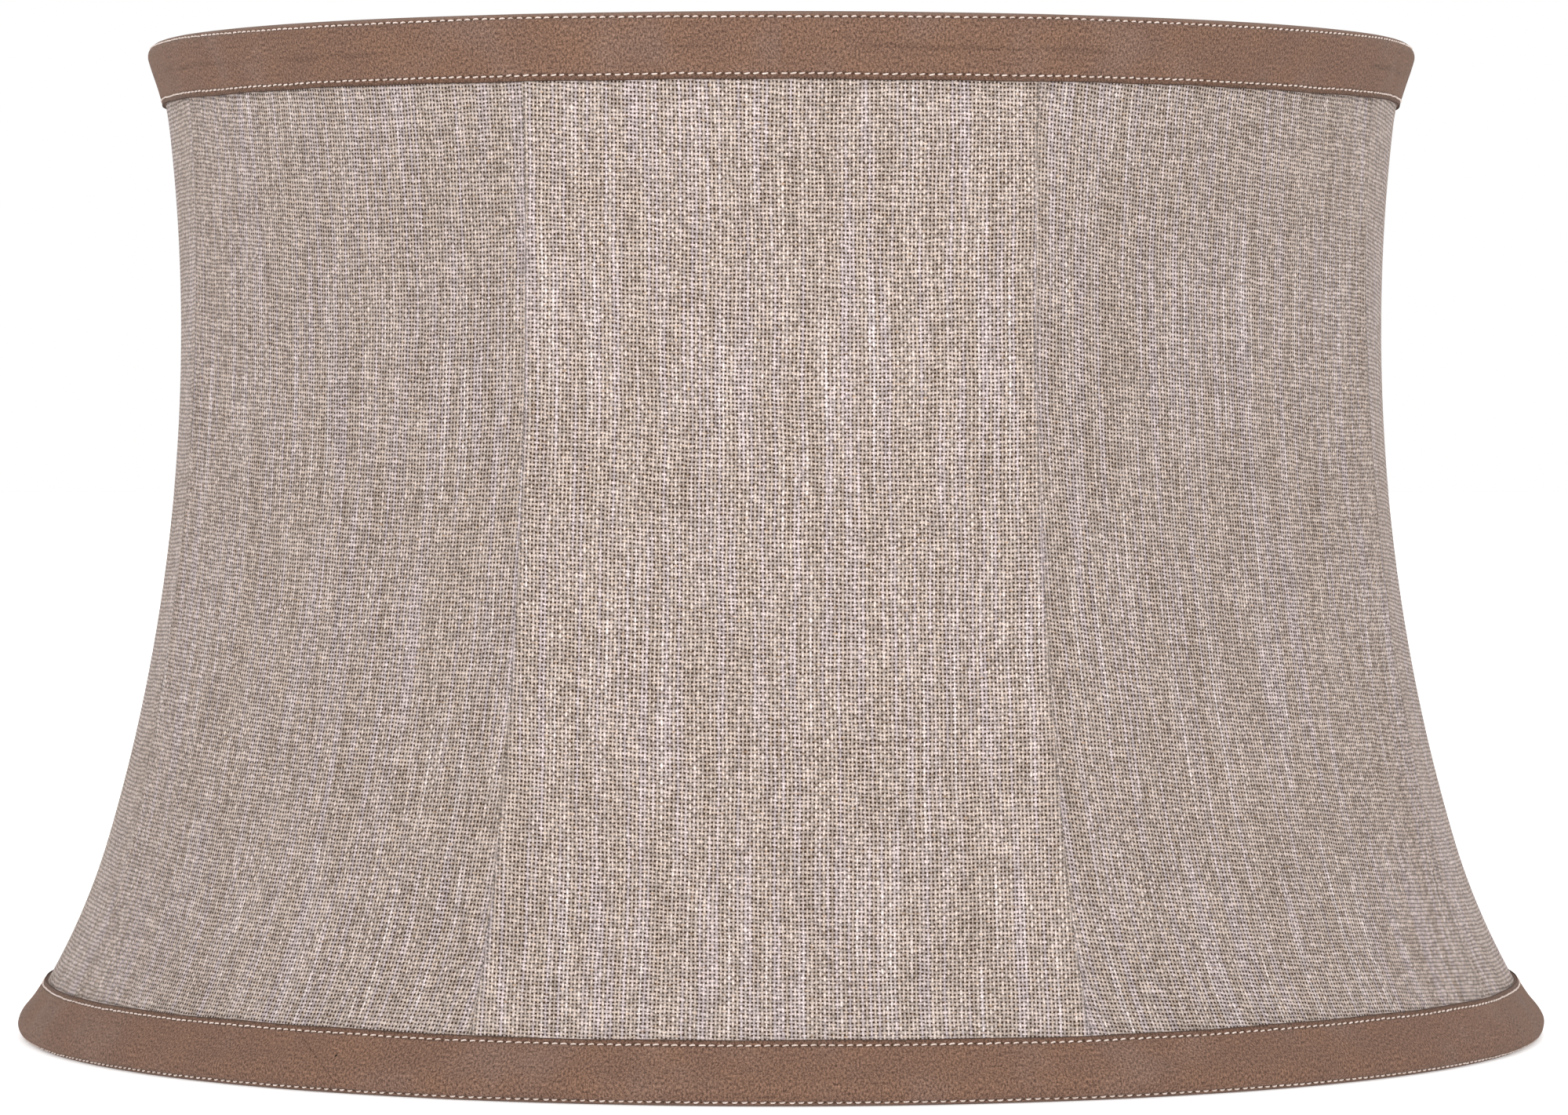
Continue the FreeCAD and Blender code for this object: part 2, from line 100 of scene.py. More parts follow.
surround = bpy.data.worlds.new("surround")
surround.use_nodes = True
surround.node_tree.nodes["Background"].inputs["Color"].default_value = (1, 1, 1, 1)
surround.node_tree.nodes["Background"].inputs["Strength"].default_value = 1.0
bpy.context.scene.world = surround

FLOOR_REACH = 12.0

floor_mesh = bpy.data.meshes.new("floor")
floor_corners = [(-1, -1), (1, -1), (1, 1), (-1, 1)]
floor_mesh.from_pydata(
    [(x * FLOOR_REACH, y * FLOOR_REACH, 0) for x, y in floor_corners], [], [(0, 1, 2, 3)]
)
floor = bpy.data.objects.new("floor", floor_mesh)
bpy.context.collection.objects.link(floor)


class Finish:
    """A material being built up: every call adds one node and gives back its output."""

    def __init__(self, name, **sockets):
        self.material = bpy.data.materials.new(name)
        self.material.use_nodes = True
        self.tree = self.material.node_tree
        self.shader = self.tree.nodes["Principled BSDF"]
        for socket, number in sockets.items():
            self.shader.inputs[socket.replace("_", " ")].default_value = number

    def add(self, kind, output, inputs, **settings):
        node = self.tree.nodes.new(kind)
        for setting, choice in settings.items():
            setattr(node, setting, choice)
        for socket, content in inputs.items():
            if isinstance(content, bpy.types.NodeSocket):
                self.tree.links.new(content, node.inputs[socket])
            else:
                node.inputs[socket].default_value = content
        return node.outputs[output]

    def math(self, operation, *values, clamp=False):
        places = dict(enumerate(values))
        return self.add("ShaderNodeMath", 0, places, operation=operation, use_clamp=clamp)

    def split(self, vector):
        node = self.tree.nodes.new("ShaderNodeSeparateXYZ")
        self.tree.links.new(vector, node.inputs[0])
        return node.outputs

    def join(self, x, y, z=0.0):
        return self.add("ShaderNodeCombineXYZ", 0, {0: x, 1: y, 2: z})

    def noise(self, vector, scale, detail=2.0, rough=0.5):
        sockets = {"Vector": vector, "Scale": scale, "Detail": detail, "Roughness": rough}
        return self.add("ShaderNodeTexNoise", 0, sockets)

    def ramp(self, value, low, high, to_low=0.0, to_high=1.0):
        """A smooth step of a value from one range to another."""
        sockets = {0: value, 1: low, 2: high, 3: to_low, 4: to_high}
        return self.add("ShaderNodeMapRange", 0, sockets, interpolation_type="SMOOTHSTEP")

    def mix(self, share, first, second, blend="MIX"):
        """Blend two colours by a share from 0 to 1."""
        sockets = {0: share, 6: first, 7: second}
        return self.add("ShaderNodeMix", 2, sockets, data_type="RGBA", blend_type=blend)

    def tone(self, colour, factor):
        """Make a colour lighter or darker by a factor that varies over the surface."""
        grey = self.join(factor, factor, factor)
        return self.mix(1.0, colour, grey, blend="MULTIPLY")

    def source(self, name):
        return self.add("ShaderNodeTexCoord", name, {})

    def cloth_uv(self):
        return self.add("ShaderNodeUVMap", 0, {}, uv_map="cloth")

    def bump(self, height, distance, strength=1.0):
        sockets = {"Height": height, "Distance": distance, "Strength": strength}
        return self.add("ShaderNodeBump", 0, sockets)

    def use(self, socket, output):
        self.tree.links.new(output, self.shader.inputs[socket])


floor_finish = Finish("pale floor", Roughness=0.9)
floor_finish.shader.inputs["Emission Color"].default_value = (1, 1, 1, 1)
floor_finish.shader.inputs["Emission Strength"].default_value = 0.35
floor_spots = floor_finish.noise(floor_finish.source("Object"), 3.0)
floor_tone = floor_finish.ramp(floor_spots, 0.3, 0.7, 0.985, 1.0)
floor_finish.use("Base Color", floor_finish.tone((0.92, 0.92, 0.92, 1), floor_tone))
floor_mesh.materials.append(floor_finish.material)

# --- Wire frame -----------------------------------------------------------------------------
# Two rings and eight curved ribs of steel wire, butt-welded and dipped in white plastic so
# that they don't rust through the cloth. They are sealed between the cover and the lining.

COATED_WIRE = (0.80, 0.79, 0.76, 1)

coat = Finish("white coated wire", Roughness=0.42)
coat_marks = coat.noise(coat.source("Object"), 180.0, detail=3.0)
coat.use("Base Color", coat.tone(COATED_WIRE, coat.ramp(coat_marks, 0.3, 0.7, 0.9, 1.04)))
coat.use("Normal", coat.bump(coat_marks, 0.1 * MM))

RIB_COUNT = sum(name.startswith("rib_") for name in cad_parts)
RIB_NODES = [f"rib_{number}" for number in range(1, RIB_COUNT + 1)]


def refinish(node, finish):
    """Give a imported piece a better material."""
    packed = bpy.data.objects[node]
    for place in packed.material_slots:
        place.material = finish.material


for node in ["bottom_ring", "top_ring", *RIB_NODES]:
    refinish(node, coat)

# --- Spider ---------------------------------------------------------------------------------
# Three bent brass-plated wires run down from the top ring and in to a washer, which drops
# over the post of the lamp's harp. They are brazed under the washer and to the ring.

SATIN_BRASS = (0.66, 0.49, 0.24, 1)
TARNISH = (0.36, 0.25, 0.13, 1)

plate = Finish("satin brass plate", Metallic=1.0, Roughness=0.34)
plate_grain = plate.noise(plate.source("Object"), 90.0, detail=6.0, rough=0.65)
plate_spots = plate.noise(plate.source("Object"), 420.0, detail=2.0)
plate.use("Base Color", plate.mix(plate.ramp(plate_grain, 0.48, 0.74), SATIN_BRASS, TARNISH))
plate.use("Roughness", plate.ramp(plate_spots, 0.3, 0.7, 0.26, 0.46))
plate.use("Normal", plate.bump(plate_grain, 0.05 * MM))

ARM_NODES = sorted(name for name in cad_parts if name.startswith("spider_arm_"))
for node in [*ARM_NODES, "fitter_washer"]:
    refinish(node, plate)

# --- Linen cover ----------------------------------------------------------------------------
# Eight gores of plain-woven taupe linen, seamed along the ribs, drawn tight over the frame and
# turned over both rings. Each gore is cut with its own slight lean of the grain, and sinks a
# little between the ribs. Light slubs run up the cloth, and small holes show between threads.
# The holes are painted near black as painted shadow, the low parts of the threads get painted
# shade, and every other gore is darker, partly as its own tone and partly as painted shade.

COVER_THICKNESS = 0.6 * MM
WRAP_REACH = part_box("linen_cover")[1].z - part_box("top_ring")[1].z
PANEL_WAIST = (169.7 * MM, 198.0 * MM)
PANEL_FLARE_RADIUS = 190.5 * MM
RIB_WAIST = (173.9 * MM, 215.0 * MM)
RIB_FLARE_RADIUS = 193.5 * MM
LOW_JOINT_HEIGHT = 56.0 * MM
TOP_JOINT_DEPTH = 24.4 * MM


def ring_centre(node):
    """Radius and height of a ring wire's centre line, and the wire's own radius."""
    low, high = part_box(node)
    wire = (high.z - low.z) / 2
    return np.array([(high.x - low.x) / 2 - wire, (high.z + low.z) / 2]), wire


BOTTOM_RING, RING_WIRE = ring_centre("bottom_ring")
TOP_RING = ring_centre("top_ring")[0]
RINGS = (BOTTOM_RING, TOP_RING)
SHADE_HEIGHT = cad_box[1].z
COVER_ROLL = RING_WIRE + WRAP_REACH


class SideLine:
    """The linen's outer face in a plane through the axis, as (radius, height) points.

    A long arc makes the waist. At each end a second arc leaves it smoothly and runs smoothly
    onto the roll of cloth round the ring: its radius is the one for which the distance from
    its centre to the ring is that radius plus the roll. Every deeper layer keeps the centres.
    """

    def __init__(self, waist, flare_radius):
        low = np.array([flare_radius, LOW_JOINT_HEIGHT])
        out, down = low - waist
        self.radius = (out**2 + down**2) / (2 * out)
        self.centre = np.array([waist[0] + self.radius, waist[1]])
        rise = SHADE_HEIGHT - TOP_JOINT_DEPTH - waist[1]
        high = np.array([self.centre[0] - math.sqrt(self.radius**2 - rise**2), waist[1] + rise])
        self.joints = (low, high)
        self.flares = [self.flare(low, BOTTOM_RING), self.flare(high, TOP_RING)]

    def flare(self, joint, ring):
        normal = (self.centre - joint) / self.radius
        reach = ring - joint
        radius = (reach @ reach - COVER_ROLL**2) / (2 * (COVER_ROLL + normal @ reach))
        return joint + normal * radius, radius

    def touch(self, end, depth):
        """Where the side meets the roll round a ring: end 0 is the bottom, 1 the top."""
        centre, radius = self.flares[end]
        out = (centre - RINGS[end]) / (radius + COVER_ROLL)
        return RINGS[end] + out * (COVER_ROLL - depth)

    def joint(self, end, depth):
        point = self.joints[end]
        return point - (self.centre - point) * (depth / self.radius)

    def at_height(self, end, height, depth):
        """A point of a flare arc, for a height on the linen's outer face."""
        centre, radius = self.flares[end]
        rise = height - centre[1]
        point = np.array([centre[0] - math.sqrt(radius**2 - rise**2), height])
        return point - (centre - point) * (depth / radius)


def arc_points(centre, start, end, count):
    """Points on the shorter arc from start to end, each an equal angle on from the last."""
    a, b = start - centre, end - centre
    first = math.atan2(a[1], a[0])
    sweep = math.atan2(a[0] * b[1] - a[1] * b[0], a @ b)
    angle = first + sweep * np.linspace(0, 1, count + 1)
    return centre + np.hypot(*a) * np.stack([np.cos(angle), np.sin(angle)], axis=1)


def chain(*runs):
    """Join runs of points end to end, leaving out each run's first point after the first."""
    return np.concatenate([runs[0], *(run[1:] for run in runs[1:])])


PANEL_LINE = SideLine(PANEL_WAIST, PANEL_FLARE_RADIUS)
RIB_LINE = SideLine(RIB_WAIST, RIB_FLARE_RADIUS)


def ring_side(line, depth, wrap, counts):
    """A layer's line from ring to ring, with each end turned round its ring to straight
    under the bottom ring and straight over the top one."""
    low, high = line.touch(0, depth), line.touch(1, depth)
    low_end = BOTTOM_RING - (0, abs(COVER_ROLL - depth))
    high_end = TOP_RING + (0, abs(COVER_ROLL - depth))
    return chain(
        arc_points(BOTTOM_RING, low_end, low, wrap),
        arc_points(line.flares[0][0], low, line.joint(0, depth), counts[0]),
        arc_points(line.centre, line.joint(0, depth), line.joint(1, depth), counts[1]),
        arc_points(line.flares[1][0], line.joint(1, depth), high, counts[2]),
        arc_points(TOP_RING, high, high_end, wrap),
    )


def panelled(panel_points, rib_points, panel, t):
    """The surface through a panel line and a rib line, for every column.

    A column is in a panel, counted from the front, at t from -1 on one rib to 1 on the next.
    Across a panel the section is a parabola with its top on the panel line: the point is t
    of the way to the rib sideways and t squared of the way to it outwards and upwards. The
    result is columns x points x 3.
    """
    half = math.pi / RIB_COUNT
    t = t[:, None]
    side = t * rib_points[None, :, 0] * math.sin(half)
    out = panel_points[:, 0] + (rib_points[:, 0] * math.cos(half) - panel_points[:, 0]) * t**2
    height = panel_points[:, 1] + (rib_points[:, 1] - panel_points[:, 1]) * t**2
    turn = (panel * 2 * half - math.pi / 2)[:, None]
    x = out * np.cos(turn) - side * np.sin(turn)
    y = out * np.sin(turn) + side * np.cos(turn)
    return np.stack([x, y, height], axis=2)


def surface_normals(points, close_around=False, close_along=False):
    """Unit normals of a grid of points: the cross product of its two differences."""
    steps = []
    for axis, closed in ((0, close_around), (1, close_along)):
        if closed:
            steps.append(np.roll(points, -1, axis) - np.roll(points, 1, axis))
        else:
            steps.append(np.gradient(points, axis=axis))
    normal = np.cross(*steps)
    return normal / np.maximum(np.linalg.norm(normal, axis=2, keepdims=True), 1e-12)


def running_length(points, axis):
    """Distance run along a grid of points from its first row or column."""
    steps = np.linalg.norm(np.diff(points, axis=axis), axis=-1)
    zero = np.zeros_like(np.take(steps, [0], axis=axis))
    return np.concatenate([zero, np.cumsum(steps, axis=axis)], axis=axis)


def cloth_mesh(name, points, uv, finish, close_around=False, close_along=False, breaks=()):
    """A mesh from a grid of points, with its cloth coordinates as a UV map in millimetres.

    uv has one more column or row than points where the grid closes on itself there. No faces
    are made between the columns in breaks and the next ones.
    """
    wide, long = points.shape[:2]
    i = np.arange(wide if close_around else wide - 1)
    i = i[~np.isin(i, breaks)][:, None]
    j = np.arange(long if close_along else long - 1)[None, :]
    corners = [(i, j), (i + 1, j), (i + 1, j + 1), (i, j + 1)]
    faces = np.stack([(a % wide) * long + b % long for a, b in corners], axis=2).reshape(-1, 4)
    maps = np.stack([uv[a, b] for a, b in corners], axis=2).reshape(-1, 2)
    piece = grid_piece(name, points.reshape(-1, 3), faces, finish)
    piece.data.uv_layers.new(name="cloth").data.foreach_set("uv", (maps / MM).reshape(-1))
    return piece


def grid_piece(name, vertices, faces, finish):
    """A smooth piece from four-sided faces, fixed to the shade."""
    mesh = bpy.data.meshes.new(name)
    mesh.vertices.add(len(vertices))
    mesh.vertices.foreach_set("co", vertices.reshape(-1))
    mesh.loops.add(faces.size)
    mesh.loops.foreach_set("vertex_index", faces.reshape(-1))
    mesh.polygons.add(len(faces))
    mesh.polygons.foreach_set("loop_start", np.arange(len(faces)) * 4)
    mesh.polygons.foreach_set("use_smooth", np.ones(len(faces), bool))
    mesh.update(calc_edges=True)
    mesh.materials.append(finish.material)
    piece = bpy.data.objects.new(name, mesh)
    bpy.context.collection.objects.link(piece)
    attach(piece, "root")
    return piece


def thicken(piece, thickness, inwards=True):
    solid = piece.modifiers.new("thickness", "SOLIDIFY")
    solid.thickness = thickness
    solid.offset = -1 if inwards else 1
    solid.use_even_offset = True


def woven(finish, across, along, fill, uneven, seed):
    """Height and colour masks of a plain weave, in threads across and along.

    Warp thread i is where across lies between i and i + 1, weft thread j likewise. A
    thread's section is round, and it rises and falls as a cosine along its length, up where
    i + j is even for the warp and odd for the weft. The higher of the two shows, with the
    warp favoured by 0.15, and where neither reaches there is a hole. fill and uneven hold
    the half width of a thread in pitches and how much it varies, for the warp and the weft.
    """
    m = finish.math
    warp, weft = m("FLOOR", across), m("FLOOR", along)
    from_warp = m("SUBTRACT", m("SUBTRACT", across, warp), 0.5)
    from_weft = m("SUBTRACT", m("SUBTRACT", along, weft), 0.5)
    warp_noise = finish.noise(
        finish.join(m("MULTIPLY", warp, 3.71), m("MULTIPLY", along, 0.03), seed), 1.0, 1.0
    )
    weft_noise = finish.noise(
        finish.join(m("MULTIPLY", across, 0.06), m("MULTIPLY", weft, 3.37), seed + 7), 1.0, 1.0
    )
    heights = []
    for offset, run, own, noise, half, vary, up in (
        (from_warp, along, warp, warp_noise, fill[0], uneven[0], 1.0),
        (from_weft, across, weft, weft_noise, fill[1], uneven[1], -1.0),
    ):
        half_width = m("MULTIPLY_ADD", m("SUBTRACT", noise, 0.5), vary, half)
        share = m("DIVIDE", offset, half_width)
        section = m("SUBTRACT", 1.0, m("MULTIPLY", share, share))
        wave = m("COSINE", m("MULTIPLY", m("ADD", m("SUBTRACT", run, 0.5), own), math.pi))
        round_top = m("MULTIPLY", m("SQRT", m("MAXIMUM", section, 0.0)), 0.6)
        crown = m("MULTIPLY_ADD", wave, 0.4 * up, round_top)
        missing = m("MULTIPLY", m("LESS_THAN", section, 0.0), 2.0)
        heights.append(m("SUBTRACT", crown, missing))
    height = m("MAXIMUM", m("MAXIMUM", *heights), -1.0)
    warp_shows = m("GREATER_THAN", m("ADD", heights[0], 0.15), heights[1])
    return height, warp_shows, warp_noise, weft_noise


def dice(finish, x, y, seed):
    """A random number from 0 to 1 for every whole pair of x and y, rounded down."""
    m = finish.math
    cell = finish.join(m("FLOOR", x), m("FLOOR", y), seed)
    return finish.add("ShaderNodeTexWhiteNoise", 0, {"Vector": cell})


def wandering(finish, x, y, slow, quick, seed):
    """How far threads stray sideways as they run: a slow sway and a quick waver, in threads."""
    place = finish.join(x, y, seed)
    sway = finish.math("MULTIPLY", finish.noise(place, 0.025, 1.0), slow)
    waver = finish.math("MULTIPLY", finish.noise(place, 0.30, 2.0), quick)
    return finish.math("ADD", sway, waver)


LINEN_LIGHT = (0.455, 0.385, 0.350, 1)
LINEN_DEEP = (0.310, 0.240, 0.197, 1)
LINEN_LILAC = (0.425, 0.358, 0.358, 1)
LINEN_SLUB = (0.550, 0.480, 0.465, 1)
LINEN_FLECK = (0.250, 0.150, 0.080, 1)
LINEN_HOLE_SHADOW = (0.036, 0.017, 0.006, 1)
WARP_PITCH = 1.03
WEFT_PITCH = 1.13
RIB_TRACE = 1.6
GORE_WIDTH = 136.0

linen = Finish("taupe linen", Roughness=0.92, Sheen_Weight=0.03, Sheen_Roughness=0.45)
linen.shader.inputs["Specular IOR Level"].default_value = 0.12
linen_uv = linen.cloth_uv()
linen_x, linen_y = linen.split(linen_uv)[:2]
warp_drift = wandering(linen, linen_x, linen_y, 1.6, 0.35, 3.0)
weft_drift = wandering(linen, linen_x, linen_y, 1.8, 0.90, 31.0)
across = linen.math("ADD", linen.math("DIVIDE", linen_x, WARP_PITCH), warp_drift)
along = linen.math("ADD", linen.math("DIVIDE", linen_y, WEFT_PITCH), weft_drift)
thread_height, warp_shows, warp_noise, weft_noise = woven(
    linen, across, along, fill=(0.278, 0.298), uneven=(0.26, 0.18), seed=3.0
)
warp_tone = linen.ramp(warp_noise, 0.25, 0.75, 0.45, 0.95)
weft_tone = linen.ramp(weft_noise, 0.25, 0.75, 0.15, 0.50)
weft_shows = linen.math("SUBTRACT", 1.0, warp_shows)
top_tone = linen.math(
    "ADD",
    linen.math("MULTIPLY", warp_tone, warp_shows),
    linen.math("MULTIPLY", weft_tone, weft_shows),
)
thread_colour = linen.mix(top_tone, LINEN_DEEP, LINEN_LIGHT)
warp_number = linen.math("FLOOR", across)
far_along = linen.math("MULTIPLY", along, 0.014)
lilac_place = linen.join(linen.math("MULTIPLY", warp_number, 2.37), far_along, 51.0)
lilac = linen.ramp(linen.noise(lilac_place, 1.0, 1.0), 0.50, 0.62, 0.0, 0.8)
thread_colour = linen.mix(lilac, thread_colour, LINEN_LILAC)
slub_place = linen.join(linen.math("MULTIPLY", warp_number, 0.60), far_along, 22.0)
slub = linen.ramp(linen.noise(slub_place, 1.0, 1.0), 0.60, 0.74, 0.0, 0.85)
slub = linen.math("MULTIPLY", slub, linen.ramp(warp_shows, 0.0, 1.0, 0.45, 1.0))
thread_colour = linen.mix(slub, thread_colour, LINEN_SLUB)
fleck_place = linen.join(linen.math("MULTIPLY", linen_x, 0.55), linen_y, 11.0)
fleck_noise = linen.noise(fleck_place, 1.1, 1.0)
fleck_share = linen.ramp(fleck_noise, 0.62, 0.76, 0.0, 0.6)
thread_colour = linen.mix(fleck_share, thread_colour, LINEN_FLECK)
fibres = linen.noise(linen_uv, 2.4, 3.0, rough=0.7)
thread_colour = linen.tone(thread_colour, linen.ramp(fibres, 0.25, 0.75, 0.74, 1.26))
crossing = dice(linen, across, along, 5.0)
thread_colour = linen.tone(thread_colour, linen.ramp(crossing, 0.0, 1.0, 0.80, 1.20))
# Painted shade: threads are darker where they dip low, at their edges and under the crossing
# thread.
thread_colour = linen.tone(thread_colour, linen.ramp(thread_height, -0.2, 0.75, 0.36, 1.22))
# Painted shadow: the holes between threads are painted near black for the shaded space behind the
# cloth, with fewer dark holes over the ribs, which lie right behind it.
openness = linen.ramp(thread_height, -0.7, 0.15, 1.0, 0.0)
linen_place = linen.split(linen.source("Object"))
linen_turn = linen.math("ARCTAN2", linen_place[0], linen.math("MULTIPLY", linen_place[1], -1.0))
gore_place = linen.math("MULTIPLY", linen_turn, RIB_COUNT / (2 * math.pi))
gore = linen.math("ROUND", gore_place)
rib_distance = linen.math("ABSOLUTE", linen.math("SUBTRACT", gore_place, gore))
rib_distance = linen.math("MULTIPLY", linen.math("SUBTRACT", 0.5, rib_distance), GORE_WIDTH)
on_rib = linen.ramp(rib_distance, 0.3 * RIB_TRACE, RIB_TRACE, 1.0, 0.0)
hole = dice(linen, linen.math("ADD", across, 0.5), linen.math("ADD", along, 0.5), 8.0)
hole_shadow_share = linen.math("MULTIPLY", openness, linen.ramp(on_rib, 0.0, 1.0, 1.0, 0.35))
hole_shadow_share = linen.math("MULTIPLY", hole_shadow_share, linen.ramp(hole, 0.0, 0.5, 0.35, 1.0))
thread_colour = linen.tone(thread_colour, linen.ramp(hole, 0.0, 1.0, 1.12, 0.88))
# Every other gore is 7.5% darker: partly a tone that differs from gore to gore, partly painted
# shade for the step in brightness between gores that face the light differently.
gore_parity = linen.math("PINGPONG", gore, 1.0)
gore_tone_and_shade = linen.ramp(gore_parity, 0.0, 1.0, 1.0, 0.925)
thread_colour = linen.tone(thread_colour, gore_tone_and_shade)
linen.use("Base Color", linen.mix(hole_shadow_share, thread_colour, LINEN_HOLE_SHADOW))
linen.use("Normal", linen.bump(thread_height, 0.35 * MM))

GORE_COLUMNS = 40
COVER_WRAP = 8
COVER_ROWS = (24, 60, 12)
GRAIN_LEAN = np.radians([2.4, 5.2, 1.4, 3.1, 2.0, 3.6, 1.2, 2.2])
FAN_SHARE = 0.3

gore_t = np.linspace(-1, 1, GORE_COLUMNS + 1)
cover_t = np.tile(0.3 * gore_t + 0.7 * gore_t * (1.5 - 0.5 * gore_t**2), RIB_COUNT)
cover_gore = np.repeat(np.arange(RIB_COUNT), GORE_COLUMNS + 1)
cover_points = panelled(
    ring_side(PANEL_LINE, 0, COVER_WRAP, COVER_ROWS),
    ring_side(RIB_LINE, 0, COVER_WRAP, COVER_ROWS),
    cover_gore,
    cover_t,
)
gore_points = cover_points[: GORE_COLUMNS + 1]
gore_across = running_length(gore_points, 0)
gore_along = running_length(gore_points, 1)
gore_widths = gore_across[-1]
gore_across = gore_across - gore_widths / 2
waist_row = COVER_WRAP + COVER_ROWS[0] + COVER_ROWS[1] // 2
fanned = np.broadcast_to(gore_across[:, waist_row : waist_row + 1], gore_across.shape)
gore_x = FAN_SHARE * fanned + (1 - FAN_SHARE) * gore_across
cover_uv = np.concatenate(
    [
        np.stack([gore_x + number * 0.2, gore_along + gore_x * math.tan(lean)], axis=2)
        for number, lean in enumerate(GRAIN_LEAN)
    ]
)
gore_ends = np.arange(1, RIB_COUNT) * (GORE_COLUMNS + 1) - 1
cover = cloth_mesh("linen_cloth", cover_points, cover_uv, linen, breaks=gore_ends)
thicken(cover, COVER_THICKNESS)
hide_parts("linen_cover")

# --- Lining ---------------------------------------------------------------------------------
# A lining of fine off-white cotton hangs just clear of the ribs and is sewn round both rings
# under the ribbon. It is eased in, so small puckers fan out from each ring and fade away. Two
# seams run up it, on the left and on the right.

LINING_CLOTH = (0.70, 0.67, 0.60, 1)
LINING_SHADE = (0.52, 0.49, 0.42, 1)
LINING_THICKNESS = 0.6 * MM
LINING_DEPTH = 4.30 * MM
PUCKER = 0.40 * MM
PUCKER_REACH = 34 * MM
LINING_COLUMNS = 704
LINING_SEAMS = (2.0, 6.0)

cotton = Finish("off-white lining cotton", Roughness=0.85, Sheen_Weight=0.1)
cotton.shader.inputs["Specular IOR Level"].default_value = 0.2
cotton_uv = cotton.cloth_uv()
cotton_x, cotton_y = cotton.split(cotton_uv)[:2]
cotton_across = cotton.math(
    "ADD", cotton.math("DIVIDE", cotton_x, 0.42), wandering(cotton, cotton_x, cotton_y, 2, 0.3, 5.0)
)
cotton_along = cotton.math(
    "ADD", cotton.math("DIVIDE", cotton_y, 0.46), wandering(cotton, cotton_x, cotton_y, 2, 0.3, 9.0)
)
cotton_height, _, _, cotton_weft_noise = woven(
    cotton, cotton_across, cotton_along, fill=(0.44, 0.45), uneven=(0.3, 0.3), seed=13.0
)
# Painted shade: the lining's weave is darker where its threads dip low.
cotton_hollow_shade = cotton.ramp(cotton_height, -0.6, 0.8, 0.72, 1.05)
cotton_cloud = cotton.ramp(cotton.noise(cotton_uv, 0.03, 3.0), 0.3, 0.7, 0.95, 1.03)
cotton_colour = cotton.mix(cotton.ramp(cotton_weft_noise, 0.3, 0.8), LINING_CLOTH, LINING_SHADE)
cotton_colour = cotton.mix(0.35, LINING_CLOTH, cotton_colour)
cotton_colour = cotton.tone(cotton.tone(cotton_colour, cotton_hollow_shade), cotton_cloud)
cotton.use("Base Color", cotton_colour)
cotton.use("Normal", cotton.bump(cotton_height, 0.08 * MM))

whole_place = np.arange(LINING_COLUMNS) * RIB_COUNT / LINING_COLUMNS
lining_panel = np.round(whole_place)
lining_points = panelled(
    ring_side(PANEL_LINE, LINING_DEPTH, 6, (14, 40, 8)),
    ring_side(RIB_LINE, LINING_DEPTH, 6, (14, 40, 8)),
    lining_panel,
    2 * (whole_place - lining_panel),
)
lining_lengths = running_length(lining_points, 1)
to_ring = np.minimum(lining_lengths, lining_lengths[:, -1:] - lining_lengths)
fade = np.exp(-to_ring / PUCKER_REACH) * np.clip(to_ring / (5 * MM), 0, 1) ** 0.5
turn = whole_place[:, None] * 2 * math.pi / RIB_COUNT
stray = 0.012 * np.sin(5 * turn + 1) + 0.02 * lining_lengths / PUCKER_REACH * np.sin(3 * turn)
folds = np.sin(118 * (turn + stray)) * (0.6 + 0.4 * np.sin(13 * turn + 2))
folds = folds + 0.5 * np.sin(71 * (turn - stray) + 1.3)
seam_gap = np.min([np.abs(whole_place - seam) for seam in LINING_SEAMS], axis=0)
seam_ridge = np.exp(-((seam_gap / 0.02) ** 2))[:, None] * 0.45 * MM
sag = np.sin(np.pi * lining_lengths / lining_lengths[:, -1:]) * 0.35 * MM
inward = PUCKER * fade * (folds - 0.2) + seam_ridge + sag * (1 + 0.4 * np.sin(4 * turn + 0.5))
lining_points = lining_points - surface_normals(lining_points, True) * inward[:, :, None]
lining_girth = float(running_length(lining_points, 0)[:, 40].max())
lining_u = np.linspace(0, lining_girth, LINING_COLUMNS + 1)
lining_v = np.concatenate([lining_lengths, lining_lengths[:1]])
lining_uv = np.stack([np.broadcast_to(lining_u[:, None], lining_v.shape), lining_v], axis=2)
lining = cloth_mesh("lining_cloth", lining_points, lining_uv, cotton, close_around=True)
thicken(lining, LINING_THICKNESS)
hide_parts("lining")

# --- Suede ribbon ---------------------------------------------------------------------------
# Brown suede ribbon 0.9 mm thick, folded over each ring to hide the raw edges. It puffs up
# between its two rows of topstitching, which pull it in. The bottom ribbon's ends meet in a
# skived splice left of the front, and the top ribbon's ends meet behind.

SUEDE = (0.160, 0.092, 0.065, 1)
SUEDE_WARM = (0.160, 0.090, 0.061, 1)
SUEDE_GREY = (0.176, 0.118, 0.095, 1)
SUEDE_DARK = (0.045, 0.022, 0.014, 1)
DIRT = (0.004, 0.003, 0.003, 1)
RIBBON_THICKNESS = 0.9 * MM
RIBBON_GAP = 0.05 * MM
RIBBON_HEIGHTS = (15.9 * MM, 17.4 * MM)
RIBBON_TURN_IN = 11.0 * MM
ROW_INSET = 1.4 * MM
RIM_ROW_ANGLES = (math.radians(-45), math.radians(34))
GROOVE_DEPTH = 0.24 * MM
GROOVE_WIDTH = 0.45 * MM
RIBBON_COLUMNS = 560
STITCH_PITCH = 2.475 * MM
STITCH_COUNTS = (545, 452)
SUEDE_OUTER, SUEDE_TURN, SUEDE_INNER, SUEDE_BACK = 44, 26, 12, 16


